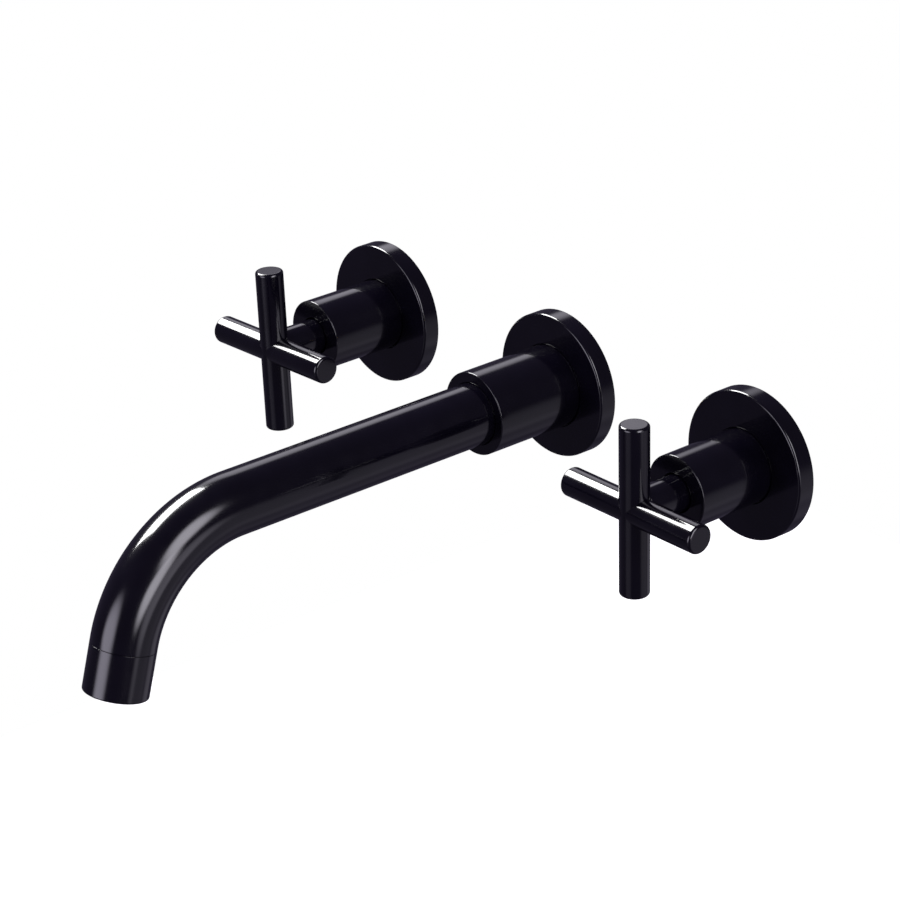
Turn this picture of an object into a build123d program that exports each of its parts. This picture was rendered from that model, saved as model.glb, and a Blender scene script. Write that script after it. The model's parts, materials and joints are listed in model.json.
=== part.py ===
from build123d import *
import os
from math import cos, radians, sin

# Wall mounted bath faucet: a hot cross handle, a fixed spout and a cold cross handle, each on its own
# round flange. Millimetres. The wall plane is Y = 0, the room is on -Y, +X is right along the wall and
# +Z is up. The origin is where the spout's axis crosses the wall plane.
# In the comments and outlines below, r is a radius about a station's axis and s is the distance that
# a point stands out of the wall plane, negative behind it.

# ---- driving dimensions ----
HANDLE_SPACING = 203.2      # hot axis to cold axis, the 8 inch standard
THREAD_R = 10.48            # G1/2 major radius
THREAD_END = 1.0            # the threads run out this far in front of the wall plane
RELIEF_R = 9.8              # thread run-out under the sealing washer
WASHER_R = 12.3
WASHER_T = 1.5
SLIP = 0.05                 # radial clearance of a shaft or spigot in its bore
GAP = 0.1                   # clearance between faces that don't touch
OVERCUT = 1.0               # how far a cut runs past the skin it opens

FLANGE_R = 28.0
FLANGE_T = 7.2
FLANGE_EDGE = 0.9           # round on the front edge
FLANGE_RIM = 2.4            # width of the rim that touches the wall
RECESS_DEPTH = 3.5          # back recess for the foam gasket
BOSS_WALL = 2.7             # ring left between the flange's bore and the recess
BOSS_BACK = 0.8
BORE_CLEARANCE = 0.2        # flange bore over the sleeve or collar

O_RING_R = 0.62             # section radius of every O-ring
GROOVE_DEPTH = 1.25
GROOVE_WIDTH = 1.6
RING_PLAY = 0.03            # a shaft's O-ring over its groove's floor

SLEEVE_R = 14.0
SLEEVE_WALL = 1.5
SLEEVE_BACK = 1.0
SLEEVE_FRONT = 40.0
SLEEVE_LIP_T = 2.5
SLEEVE_LIP_CLEARANCE = 0.5
SLEEVE_EDGE = 0.3
NUT_BACK = 12.0
NUT_FRONT = 20.0
SPANNER_NOTCH = 3.0

CAGE_R = 9.2
CAGE_BACK = -13.6
CAGE_FRONT = -5.9
CHAMBER_R = 7.6
CHAMBER_FRONT = -5.6
SEAL_SEAT_R = 8.25
SEAL_FRONT = -11.4
WINDOW = 8.0                # side windows of the valve cage
WINDOW_BACK = -10.2
WINDOW_FRONT = -6.4
HEX_BACK = 4.0
HEX_FRONT = 9.5
HEADWORK_HEX = 21.3         # across flats
BARREL_R = 9.0
BARREL_FRONT = 22.0
NOSE_R = 6.5
NOSE_FRONT = 26.0
LAND_BORE_R = 5.0
LAND_BORE_FRONT = 18.0
SHAFT_R = 4.0

STOP_ANGLE = 43.0           # width of each stop and of each wing: 2 * 43 + 90 of travel + 4 spare
STOP_SLACK = 2.0            # angle between a wing and its stop when the valve is shut
STOP_R = 6.0
WING_R = 7.3
PLATE_R = 5.7
PLATE_BACK = -7.35
TONGUE = (11.6, 2.8, 0.8)   # long, wide, deep
DISC_SLOT = (3.0, 0.95)     # wide, deep
MOVING_DISC = (-9.4, -7.4)
FIXED_DISC = (-11.4, -9.45)
MOVING_DISC_R = 7.3
FIXED_DISC_R = 7.55
PORT_ANGLE = 70.0
PORT_INNER_R = 2.2
PORT_OUTER_R = 6.2
SEAL_BACK = -14.1
SEAL_BORE_R = 5.5
STEM_GROOVES = (2.2, 8.2)
STEM_GROOVE_R = 3.7
CLIP_GROOVE_R = 3.4
CLIP_R = 5.9
CLIP_T = 0.8
CLIP_MOUTH = 5.2

SPLINE_TIP_R = 3.9
SPLINE_ROOT_R = 3.5
SPLINE_TEETH = 20
STEM_SPLINE_BACK = 27.4
STEM_TIP = 35.0
SOCKET_R = 5.6
SOCKET_BACK = 27.2
SOCKET_FRONT = 38.0
SOCKET_SPARE = 0.4          # depth left beyond the stem's tip
EXTENSION_TIP = 50.5

HUB_R = 6.8
HUB_BACK = 38.4
HUB_FRONT = 57.5
HUB_EDGE = 0.8
HUB_BORE_R = 5.1
HUB_BORE_FRONT = 51.0
INSERT_BACK = 39.0
GRUB_S = 45.0
GRUB_R = 1.45
GRUB_KEY = 1.5
GRUB_SINK = 0.3             # depth of its head under the neck's skin
SCREW_EDGE = 0.3

BAR_S = 59.8                # the cross lies in the plane this far out of the wall
BAR_R = 5.45
ARM_R = 5.43
BAR_LENGTH = 65.0
BAR_EDGE = 1.1
STUD_R = 2.45
STUD_TIP = 1.4
HOT_LEAN = 1.5              # how far each cross stands off upright when its valve is shut
COLD_LEAN = -0.5

COLLAR_R = 16.0
COLLAR_WALL = 1.8
COLLAR_BACK = 1.5
COLLAR_FRONT = 45.4
COLLAR_LIP_T = 4.0
COLLAR_LIP_R = 12.0
COLLAR_RING_S = 43.4
COLLAR_KEY_HOLE_R = 2.7

NIPPLE_BACK = -14.0
NIPPLE_HEX = 24.0
NIPPLE_BORE_R = 6.0
NIPPLE_KEY = 12.0           # hexagon socket for the fitting key, across flats
NIPPLE_KEY_BACK = 27.0
SPIGOT_R = 9.0
SPIGOT_FRONT = 34.0
SPIGOT_GROOVES = (25.6, 30.6)
LOCK_S = 17.0
LOCK_GROOVE = (5.2, 1.0)    # wide, deep
LOCK_R = 2.45
LOCK_KEY = 2.5
LOCK_HEAD = 13.4

ADAPTER_BACK = 10.0
ADAPTER_SHOULDER = 24.0
ADAPTER_FRONT = 40.0
ADAPTER_R = 13.9
TUBE_R = 11.9
TUBE_BORE_R = 10.7
STRAIGHT_END = 157.1
BEND_R = 51.4
BEND_ANGLE = 74.0
TIP_STRAIGHT = 0.8          # tube between the bend and the aerator's seam

# aerator, u is the distance below the seam along the outlet's axis
SEAM = 0.15
AERATOR_LENGTH = 17.6
NECK_R = 9.55
NECK_TOP = -5.0
CORE_BORE_R = 8.7
LIP_R = 7.9
LIP_TOP = 15.6
MOUTH_EDGE = 0.5
FERRULE_BORE_R = 9.6
FERRULE_TOP = -8.0
FERRULE_STEP = -2.8
FERRULE_RELIEF = 0.6        # how much slimmer it is above the step
FERRULE_EDGE = 1.0
WASHER_WIDTH = 1.0          # how far the aerator's washer reaches over the core
CORE_R = 8.6
CORE_TOP = -4.0
CORE_WALL = 0.8
HONEYCOMB_TOP = 11.6
CELL = 2.1                  # honeycomb cell, across flats
CELL_WALL = 0.4
SCREEN_HOLE = 0.9
SCREEN_PITCH = 1.35
SCREEN_RIM = 1.6

# ---- frames ----


def wall_plane(x, s, lean=0.0):
    """Plane across a station's axis: local x right, local y up, normal out of the wall."""
    across = (cos(radians(lean)), 0, sin(radians(lean)))
    return Plane(origin=(x, -s, 0), x_dir=across, z_dir=(0, -1, 0))


def radius_plane(x):
    """Half plane of a turned piece: local x is r and local y is s."""
    return Plane(origin=(x, 0, 0), x_dir=(1, 0, 0), z_dir=(0, 0, -1))


def station_axis(x):
    return Axis((x, 0, 0), (0, -1, 0))


def save(piece, name):
    piece.part.label = name
    export_step(piece.part, f"parts/{name}.step")


def turned(x, outline):
    """Revolve a closed (r, s) outline about a station's axis."""
    with BuildPart() as piece:
        with BuildSketch(radius_plane(x)):
            with BuildLine():
                Polyline(*outline, close=True)
            make_face()
        revolve(axis=station_axis(x))
    return piece


def ring(x, inner, outer, back, front):
    return turned(x, [(inner, back), (outer, back), (outer, front), (inner, front)])


def o_rings(x, middle, places):
    """Round rings of one size, side by side on a station's axis."""
    with BuildPart() as piece:
        with BuildSketch(radius_plane(x)):
            with Locations(*[(middle, s) for s in places]):
                Circle(O_RING_R)
        revolve(axis=station_axis(x))
    return piece


def wedge(radius, angle):
    """Pie slice of the given angle, centred on local +x."""
    half = radians(angle / 2)
    rim = [(radius * cos(a), radius * sin(a)) for a in (-half, 0, half)]
    with BuildSketch() as slice_face:
        with BuildLine():
            Line((0, 0), rim[0])
            ThreePointArc(*rim)
            Line(rim[2], (0, 0))
        make_face()
    return slice_face.sketch


def ports(angle):
    """Two opposite water ports, the first centred on the given angle."""
    with BuildSketch() as openings:
        with PolarLocations(0, 2, start_angle=angle):
            add(wedge(PORT_OUTER_R, PORT_ANGLE))
        Circle(PORT_INNER_R, mode=Mode.SUBTRACT)
    return openings.sketch


def spline(extra=0.0):
    """Toothed section of the valve's spline, larger all round by extra."""
    root = SPLINE_ROOT_R + extra
    crest = SPLINE_TIP_R + extra
    points = []
    for tooth in range(SPLINE_TEETH):
        for radius, share in ((root, 0.25), (crest, 0.4), (crest, 0.6), (root, 0.75)):
            angle = radians(360 / SPLINE_TEETH * (tooth + share))
            points.append((radius * cos(angle), radius * sin(angle)))
    with BuildSketch() as section:
        with BuildLine():
            Polyline(*points, close=True)
        make_face()
    return section.sketch


# ---- flanges and sleeves ----


def flange(x, bore):
    boss = bore + BOSS_WALL
    groove = bore + GROOVE_DEPTH
    rim = FLANGE_R - FLANGE_RIM
    outline = [
        (bore, BOSS_BACK), (boss, BOSS_BACK), (boss, RECESS_DEPTH), (rim, RECESS_DEPTH), (rim, 0),
        (FLANGE_R, 0), (FLANGE_R, FLANGE_T), (bore, FLANGE_T), (bore, FLANGE_T / 2 + GROOVE_WIDTH / 2),
        (groove, FLANGE_T / 2 + GROOVE_WIDTH / 2), (groove, FLANGE_T / 2 - GROOVE_WIDTH / 2),
        (bore, FLANGE_T / 2 - GROOVE_WIDTH / 2),
    ]
    blank = turned(x, outline)
    with BuildPart() as disc:
        add(blank.part)
        front_edges = disc.edges().filter_by(GeomType.CIRCLE).group_by(Axis.Y)[0]
        fillet(front_edges.sort_by(SortBy.RADIUS)[-1], FLANGE_EDGE)
    return disc


def flange_gasket(x, bore):
    return ring(x, bore + BOSS_WALL + GAP, FLANGE_R - FLANGE_RIM - GAP, 0, RECESS_DEPTH)


def sleeve(x):
    inner = SLEEVE_R - SLEEVE_WALL
    lip = HUB_R + SLEEVE_LIP_CLEARANCE
    blank = turned(x, [
        (inner, SLEEVE_BACK), (SLEEVE_R, SLEEVE_BACK), (SLEEVE_R, SLEEVE_FRONT), (lip, SLEEVE_FRONT),
        (lip, SLEEVE_FRONT - SLEEVE_LIP_T), (inner, SLEEVE_FRONT - SLEEVE_LIP_T),
    ])
    with BuildPart() as tube:
        add(blank.part)
        front_edges = tube.edges().filter_by(GeomType.CIRCLE).group_by(Axis.Y)[0]
        chamfer(front_edges, SLEEVE_EDGE)
    return tube


def sleeve_nut(x):
    """Carrier ring on the barrel, with two spanner notches in its front face."""
    outer = SLEEVE_R - SLEEVE_WALL - SLIP
    blank = ring(x, BARREL_R + SLIP, outer, NUT_BACK, NUT_FRONT)
    with BuildPart() as carrier:
        add(blank.part)
        with BuildSketch(wall_plane(x, NUT_FRONT)):
            Rectangle(2 * outer, SPANNER_NOTCH)
        extrude(amount=-SPANNER_NOTCH / 2, mode=Mode.SUBTRACT)
    return carrier


# ---- valve ----


def headwork_body(x):
    """Brass valve body: cage with side windows, thread, flange, hexagon, barrel and nose."""
    with BuildPart() as body:
        with BuildSketch(radius_plane(x)):
            with BuildLine():
                Polyline(
                    (0, CAGE_BACK), (CAGE_R, CAGE_BACK), (CAGE_R, CAGE_FRONT), (THREAD_R, CAGE_FRONT),
                    (THREAD_R, THREAD_END), (RELIEF_R, THREAD_END), (RELIEF_R, THREAD_END + WASHER_T),
                    (WASHER_R, THREAD_END + WASHER_T), (WASHER_R, HEX_BACK), (BARREL_R, HEX_BACK),
                    (BARREL_R, BARREL_FRONT), (NOSE_R, BARREL_FRONT), (NOSE_R, NOSE_FRONT),
                    (0, NOSE_FRONT), close=True,
                )
            make_face()
        revolve(axis=station_axis(x))
        with BuildSketch(wall_plane(x, HEX_BACK)):
            RegularPolygon(HEADWORK_HEX / 2, 6, major_radius=False)
        extrude(amount=HEX_FRONT - HEX_BACK)
        # bores, from the shaft's to the seal's
        with BuildSketch(wall_plane(x, NOSE_FRONT)):
            Circle(SHAFT_R + SLIP)
        extrude(amount=LAND_BORE_FRONT - NOSE_FRONT, mode=Mode.SUBTRACT)
        with BuildSketch(wall_plane(x, LAND_BORE_FRONT)):
            Circle(LAND_BORE_R)
        extrude(amount=CAGE_BACK - LAND_BORE_FRONT, mode=Mode.SUBTRACT)
        with BuildSketch(wall_plane(x, CAGE_BACK)):
            Circle(SEAL_SEAT_R)
        extrude(amount=SEAL_FRONT - CAGE_BACK, mode=Mode.SUBTRACT)
        with BuildSketch(wall_plane(x, SEAL_FRONT)):
            Circle(CHAMBER_R)
        extrude(amount=MOVING_DISC[1] - SEAL_FRONT, mode=Mode.SUBTRACT)
        # the front of the chamber keeps two stops that the stem's wings run between
        with BuildSketch(wall_plane(x, MOVING_DISC[1])):
            Circle(CHAMBER_R)
            with PolarLocations(0, 2):
                add(wedge(CHAMBER_R + OVERCUT, STOP_ANGLE), mode=Mode.SUBTRACT)
            Circle(STOP_R)
        extrude(amount=CHAMBER_FRONT - MOVING_DISC[1], mode=Mode.SUBTRACT)
        with BuildSketch(wall_plane(x, WINDOW_BACK)):
            Rectangle(WINDOW, 4 * CAGE_R)
        extrude(amount=WINDOW_FRONT - WINDOW_BACK, mode=Mode.SUBTRACT)
    return body


def stem(x, side):
    """Stem from the drive tongue to the spline. The wings stand just off one pair of stops at rest."""
    land = LAND_BORE_R - SLIP
    land_front = LAND_BORE_FRONT - 4 * GAP
    outline = [(0, CHAMBER_FRONT - GAP), (land, CHAMBER_FRONT - GAP)]
    for place in STEM_GROOVES:
        low = place - GROOVE_WIDTH / 2
        high = place + GROOVE_WIDTH / 2
        outline += [(land, low), (STEM_GROOVE_R, low), (STEM_GROOVE_R, high), (land, high)]
    clip_back = NOSE_FRONT + SLIP
    clip_front = clip_back + CLIP_T + GAP
    outline += [
        (land, land_front), (SHAFT_R, land_front), (SHAFT_R, clip_back), (CLIP_GROOVE_R, clip_back),
        (CLIP_GROOVE_R, clip_front), (SHAFT_R, clip_front), (SHAFT_R, STEM_SPLINE_BACK),
        (0, STEM_SPLINE_BACK),
    ]
    blank = turned(x, outline)
    with BuildPart() as spin:
        add(blank.part)
        with BuildSketch(wall_plane(x, STEM_SPLINE_BACK)):
            add(spline())
        extrude(amount=STEM_TIP - STEM_SPLINE_BACK)
        with BuildSketch(wall_plane(x, PLATE_BACK)):
            with PolarLocations(0, 2, start_angle=side * (STOP_ANGLE + STOP_SLACK)):
                add(wedge(WING_R, STOP_ANGLE))
            Circle(PLATE_R)
        extrude(amount=CHAMBER_FRONT - GAP - PLATE_BACK)
        long, wide, deep = TONGUE
        with BuildSketch(wall_plane(x, PLATE_BACK - deep)):
            Rectangle(long, wide)
        extrude(amount=deep)
    return spin


def stem_clip(x):
    back = NOSE_FRONT + GAP
    blank = ring(x, CLIP_GROOVE_R + SLIP, CLIP_R, back, back + CLIP_T)
    with BuildPart() as clip:
        add(blank.part)
        with BuildSketch(wall_plane(x, back)):
            with Locations((0, -CLIP_R)):
                Rectangle(CLIP_MOUTH, 2 * CLIP_R)
        extrude(amount=CLIP_T, mode=Mode.SUBTRACT)
    return clip


def moving_disc(x):
    back, front = MOVING_DISC
    with BuildPart() as disc:
        with BuildSketch(wall_plane(x, back)):
            Circle(MOVING_DISC_R)
            add(ports(90), mode=Mode.SUBTRACT)
        extrude(amount=front - back)
        wide, deep = DISC_SLOT
        with BuildSketch(wall_plane(x, front)):
            Rectangle(2 * MOVING_DISC_R, wide)
        extrude(amount=-deep, mode=Mode.SUBTRACT)
    return disc


def fixed_disc(x):
    back, front = FIXED_DISC
    with BuildPart() as disc:
        with BuildSketch(wall_plane(x, back)):
            Circle(FIXED_DISC_R)
            add(ports(0), mode=Mode.SUBTRACT)
        extrude(amount=front - back)
    return disc


def stem_extension(x):
    with BuildPart() as extension:
        with BuildSketch(wall_plane(x, SOCKET_BACK)):
            Circle(SOCKET_R)
        extrude(amount=SOCKET_FRONT - SOCKET_BACK)
        with BuildSketch(wall_plane(x, SOCKET_BACK)):
            add(spline(SLIP))
        extrude(amount=STEM_TIP + SOCKET_SPARE - SOCKET_BACK, mode=Mode.SUBTRACT)
        with BuildSketch(wall_plane(x, SOCKET_BACK)):
            Circle(SHAFT_R + SLIP)
        extrude(amount=STEM_SPLINE_BACK - SOCKET_BACK + GAP, mode=Mode.SUBTRACT)
        with BuildSketch(wall_plane(x, SOCKET_FRONT)):
            add(spline())
        extrude(amount=EXTENSION_TIP - SOCKET_FRONT)
    return extension


# ---- handle ----


def hub(x, lean):
    """Neck of the handle, saddled for the two bars, with a tapped hole underneath for the grub screw."""
    blank = ring(x, HUB_BORE_R, HUB_R, HUB_BACK, HUB_BORE_FRONT)
    with BuildPart() as neck:
        add(blank.part)
        with BuildSketch(wall_plane(x, HUB_BORE_FRONT)):
            Circle(HUB_R)
        extrude(amount=HUB_FRONT - HUB_BORE_FRONT)
        fillet(neck.edges().filter_by(GeomType.CIRCLE).group_by(Axis.Y)[0], HUB_EDGE)
        bars = wall_plane(x, BAR_S, lean)
        for across in (bars.x_dir, bars.y_dir):
            with BuildSketch(Plane(origin=bars.origin, z_dir=across)):
                Circle(BAR_R + SLIP)
            extrude(amount=BAR_LENGTH / 2, both=True, mode=Mode.SUBTRACT)
        grub = wall_plane(x, GRUB_S, lean)
        with BuildSketch(Plane(origin=grub.origin, z_dir=-grub.y_dir)):
            Circle(GRUB_R + SLIP)
        extrude(amount=HUB_R + OVERCUT, mode=Mode.SUBTRACT)
    return neck


def spline_insert(x, lean):
    with BuildPart() as insert:
        with BuildSketch(wall_plane(x, INSERT_BACK)):
            Circle(HUB_BORE_R - SLIP)
            add(spline(SLIP), mode=Mode.SUBTRACT)
        extrude(amount=EXTENSION_TIP - INSERT_BACK)
        grub = wall_plane(x, GRUB_S, lean)
        with BuildSketch(Plane(origin=grub.origin, z_dir=-grub.y_dir)):
            Circle(GRUB_R + 2 * SLIP)
        extrude(amount=HUB_R, mode=Mode.SUBTRACT)
    return insert


def cross_bar(x, lean):
    """Upright bar of the cross, drilled across for the arms' studs."""
    middle = wall_plane(x, BAR_S, lean)
    with BuildPart() as bar:
        with BuildSketch(Plane(origin=middle.origin, x_dir=middle.x_dir, z_dir=middle.y_dir)):
            Circle(BAR_R)
        extrude(amount=BAR_LENGTH / 2, both=True)
        fillet(bar.edges().filter_by(GeomType.CIRCLE), BAR_EDGE)
        with BuildSketch(Plane(origin=middle.origin, z_dir=middle.x_dir)):
            Circle(STUD_R + SLIP)
        extrude(amount=BAR_R, both=True, mode=Mode.SUBTRACT)
    return bar


def arm(x, lean, way):
    """Half bar, coped to the upright bar, with a stud that screws into it. way is -1 left, +1 right."""
    middle = wall_plane(x, BAR_S, lean)
    outward = middle.x_dir * way
    with BuildPart() as half_bar:
        with BuildSketch(Plane(origin=middle.origin, z_dir=outward)):
            Circle(ARM_R)
        extrude(amount=BAR_LENGTH / 2)
        fillet(half_bar.faces().sort_by(Axis(middle.origin, outward))[-1].edges(), BAR_EDGE)
        with BuildSketch(Plane(origin=middle.origin, z_dir=middle.y_dir)):
            Circle(BAR_R + SLIP)
        extrude(amount=BAR_LENGTH, both=True, mode=Mode.SUBTRACT)
        with BuildSketch(Plane(origin=middle.origin + outward * STUD_TIP, z_dir=outward)):
            Circle(STUD_R)
        extrude(amount=BAR_R)
    return half_bar


def grub_screw(place, inward, tip, head, radius, key):
    """Headless screw with a hexagon socket. tip and head are distances from place, against inward."""
    with BuildPart() as screw:
        with BuildSketch(Plane(origin=place - inward * tip, z_dir=-inward)):
            Circle(radius)
        extrude(amount=head - tip)
        chamfer(screw.edges().filter_by(GeomType.CIRCLE), SCREW_EDGE)
        with BuildSketch(Plane(origin=place - inward * head, z_dir=-inward)):
            RegularPolygon(key / 2, 6, major_radius=False)
        extrude(amount=-key, mode=Mode.SUBTRACT)
    return screw


def set_screw(x, lean):
    seat = wall_plane(x, GRUB_S, lean)
    return grub_screw(seat.origin, seat.y_dir, SPLINE_TIP_R + SLIP, HUB_R - GRUB_SINK, GRUB_R, GRUB_KEY)


# ---- spout's foot ----


def spout_collar():
    """Cylinder over the spout's foot, with a ring groove in its lip and a key hole underneath."""
    inner = COLLAR_R - COLLAR_WALL
    groove = COLLAR_LIP_R + GROOVE_DEPTH
    low = COLLAR_RING_S - GROOVE_WIDTH / 2
    high = COLLAR_RING_S + GROOVE_WIDTH / 2
    lip_back = COLLAR_FRONT - COLLAR_LIP_T
    blank = turned(0, [
        (inner, COLLAR_BACK), (COLLAR_R, COLLAR_BACK), (COLLAR_R, COLLAR_FRONT),
        (COLLAR_LIP_R, COLLAR_FRONT), (COLLAR_LIP_R, high), (groove, high), (groove, low),
        (COLLAR_LIP_R, low), (COLLAR_LIP_R, lip_back), (inner, lip_back),
    ])
    with BuildPart() as cover:
        add(blank.part)
        chamfer(cover.edges().filter_by(GeomType.CIRCLE).group_by(Axis.Y)[0], SLEEVE_EDGE)
        with BuildSketch(Plane(origin=(0, -LOCK_S, 0), z_dir=(0, 0, -1))):
            Circle(COLLAR_KEY_HOLE_R)
        extrude(amount=COLLAR_R + OVERCUT, mode=Mode.SUBTRACT)
    return cover


def spout_nipple():
    """Brass nipple: thread, hexagon, and a spigot with a lock groove and two O-ring grooves."""
    width, depth = LOCK_GROOVE
    face = THREAD_END + WASHER_T
    lock_floor = SPIGOT_R - depth
    outline = [
        (NIPPLE_BORE_R, NIPPLE_BACK), (THREAD_R, NIPPLE_BACK), (THREAD_R, THREAD_END),
        (RELIEF_R, THREAD_END), (RELIEF_R, face), (WASHER_R, face), (WASHER_R, HEX_BACK),
        (SPIGOT_R, HEX_BACK), (SPIGOT_R, LOCK_S - width / 2), (lock_floor, LOCK_S - width / 2),
        (lock_floor, LOCK_S + width / 2), (SPIGOT_R, LOCK_S + width / 2),
    ]
    ring_floor = SPIGOT_R - 2 * O_RING_R
    for place in SPIGOT_GROOVES:
        low = place - GROOVE_WIDTH / 2
        high = place + GROOVE_WIDTH / 2
        outline += [(SPIGOT_R, low), (ring_floor, low), (ring_floor, high), (SPIGOT_R, high)]
    outline += [(SPIGOT_R, SPIGOT_FRONT), (NIPPLE_BORE_R, SPIGOT_FRONT)]
    blank = turned(0, outline)
    with BuildPart() as nipple:
        add(blank.part)
        with BuildSketch(wall_plane(0, HEX_BACK)):
            RegularPolygon(NIPPLE_HEX / 2, 6, major_radius=False)
            Circle(NIPPLE_BORE_R, mode=Mode.SUBTRACT)
        extrude(amount=HEX_FRONT - HEX_BACK)
        with BuildSketch(wall_plane(0, NIPPLE_KEY_BACK)):
            RegularPolygon(NIPPLE_KEY / 2, 6, major_radius=False)
        extrude(amount=SPIGOT_FRONT - NIPPLE_KEY_BACK, mode=Mode.SUBTRACT)
    return nipple


def spout_adapter():
    """Brass socket brazed in the tube's back end, with a tapped hole underneath for the lock screw."""
    bore = SPIGOT_R + SLIP
    inside = TUBE_BORE_R - SLIP
    blank = turned(0, [
        (bore, ADAPTER_BACK), (ADAPTER_R, ADAPTER_BACK), (ADAPTER_R, ADAPTER_SHOULDER),
        (inside, ADAPTER_SHOULDER), (inside, ADAPTER_FRONT), (bore, ADAPTER_FRONT),
    ])
    with BuildPart() as socket:
        add(blank.part)
        with BuildSketch(Plane(origin=(0, -LOCK_S, 0), z_dir=(0, 0, -1))):
            Circle(LOCK_R + SLIP)
        extrude(amount=ADAPTER_R + OVERCUT, mode=Mode.SUBTRACT)
    return socket


def spout_set_screw():
    floor = SPIGOT_R - LOCK_GROOVE[1] + GAP
    return grub_screw(Vector(0, -LOCK_S, 0), Vector(0, 0, 1), floor, LOCK_HEAD, LOCK_R, LOCK_KEY)


# ---- spout ----

# side view of the spout: local x is s and local y is up
SIDE = Plane(origin=(0, 0, 0), x_dir=(0, -1, 0), z_dir=(-1, 0, 0))
with BuildLine(SIDE) as spout_path:
    run = Line((ADAPTER_SHOULDER, 0), (STRAIGHT_END, 0))
    bend = JernArc(start=run @ 1, tangent=run % 1, radius=BEND_R, arc_size=-BEND_ANGLE)
    tip = PolarLine(bend @ 1, TIP_STRAIGHT, direction=bend % 1)
SEAM_POINT = tip @ 1
OUTLET_WAY = tip % 1


def spout_tube():
    with BuildPart() as tube:
        with BuildSketch(wall_plane(0, ADAPTER_SHOULDER)):
            Circle(TUBE_R)
            Circle(TUBE_BORE_R, mode=Mode.SUBTRACT)
        sweep(path=spout_path.line)
    return tube


def outlet_plane(u):
    return Plane(origin=SEAM_POINT + OUTLET_WAY * u, x_dir=(1, 0, 0), z_dir=OUTLET_WAY)


def outlet_turned(outline):
    """Revolve a closed (r, u) outline about the outlet's axis."""
    across = Vector(1, 0, 0)
    with BuildPart() as piece:
        with BuildSketch(Plane(origin=SEAM_POINT, x_dir=across, z_dir=across.cross(OUTLET_WAY))):
            with BuildLine():
                Polyline(*outline, close=True)
            make_face()
        revolve(axis=Axis(SEAM_POINT, OUTLET_WAY))
    return piece


def spout_ferrule():
    """Threaded bush brazed in the tube's mouth. Above its step it is slimmer, to follow the bend."""
    full = TUBE_BORE_R - SLIP
    slim = full - FERRULE_RELIEF
    return outlet_turned([
        (FERRULE_BORE_R, 0), (full, 0), (full, FERRULE_STEP), (slim, FERRULE_STEP),
        (slim, FERRULE_TOP + FERRULE_EDGE), (slim - FERRULE_EDGE, FERRULE_TOP),
        (CORE_BORE_R, FERRULE_TOP), (CORE_BORE_R, FERRULE_TOP + WASHER_T),
        (FERRULE_BORE_R, FERRULE_TOP + WASHER_T),
    ])


def aerator_washer():
    inner = CORE_R - WASHER_WIDTH
    top = FERRULE_TOP + WASHER_T + SLIP
    bottom = NECK_TOP - SLIP
    return outlet_turned([(inner, top), (NECK_R, top), (NECK_R, bottom), (inner, bottom)])


def aerator_housing():
    """Sleeve that screws into the ferrule, with a lip at its mouth that holds the core."""
    blank = outlet_turned([
        (CORE_BORE_R, NECK_TOP), (NECK_R, NECK_TOP), (NECK_R, SEAM), (TUBE_R, SEAM),
        (TUBE_R, AERATOR_LENGTH), (LIP_R, AERATOR_LENGTH), (LIP_R, LIP_TOP), (CORE_BORE_R, LIP_TOP),
    ])
    with BuildPart() as housing:
        add(blank.part)
        down = Axis(SEAM_POINT, OUTLET_WAY)
        fillet(housing.edges().filter_by(GeomType.CIRCLE).group_by(down)[-1], MOUTH_EDGE)
    return housing


def honeycomb(radius, cell, wall):
    """Hexagonal cells that stay inside a circle."""
    pitch = (cell + wall) / 2
    count = 2 * int(radius / pitch / 2) + 3
    with BuildSketch() as cells:
        with HexLocations(pitch, count, count):
            RegularPolygon(cell / 2, 6, major_radius=False)
        Circle(radius, mode=Mode.INTERSECT)
    return cells.sketch


def aerator_core():
    """Cup with a honeycomb across its mouth."""
    inner = CORE_R - CORE_WALL
    bottom = LIP_TOP - SLIP
    with BuildPart() as core:
        with BuildSketch(outlet_plane(CORE_TOP)):
            Circle(CORE_R)
        extrude(amount=bottom - CORE_TOP)
        with BuildSketch(outlet_plane(CORE_TOP)):
            Circle(inner)
        extrude(amount=HONEYCOMB_TOP - CORE_TOP, mode=Mode.SUBTRACT)
        with BuildSketch(outlet_plane(HONEYCOMB_TOP)):
            add(honeycomb(inner, CELL, CELL_WALL))
        extrude(amount=bottom - HONEYCOMB_TOP, mode=Mode.SUBTRACT)
    return core


def aerator_screen():
    """Thin strainer plate on top of the core, full of small square holes."""
    count = int(2 * (CORE_R - SCREEN_RIM) / SCREEN_PITCH)
    with BuildPart() as screen:
        with BuildSketch(outlet_plane(NECK_TOP + SLIP)):
            Circle(CORE_R)
        extrude(amount=CORE_TOP - NECK_TOP - 2 * SLIP)
        with BuildSketch(outlet_plane(NECK_TOP + SLIP)):
            with GridLocations(SCREEN_PITCH, SCREEN_PITCH, count, count):
                Rectangle(SCREEN_HOLE, SCREEN_HOLE)
            Circle(CORE_R - SCREEN_RIM, mode=Mode.INTERSECT)
        extrude(amount=CORE_TOP - NECK_TOP, mode=Mode.SUBTRACT)
    return screen


# ---- every piece ----
os.makedirs("parts", exist_ok=True)

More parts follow.
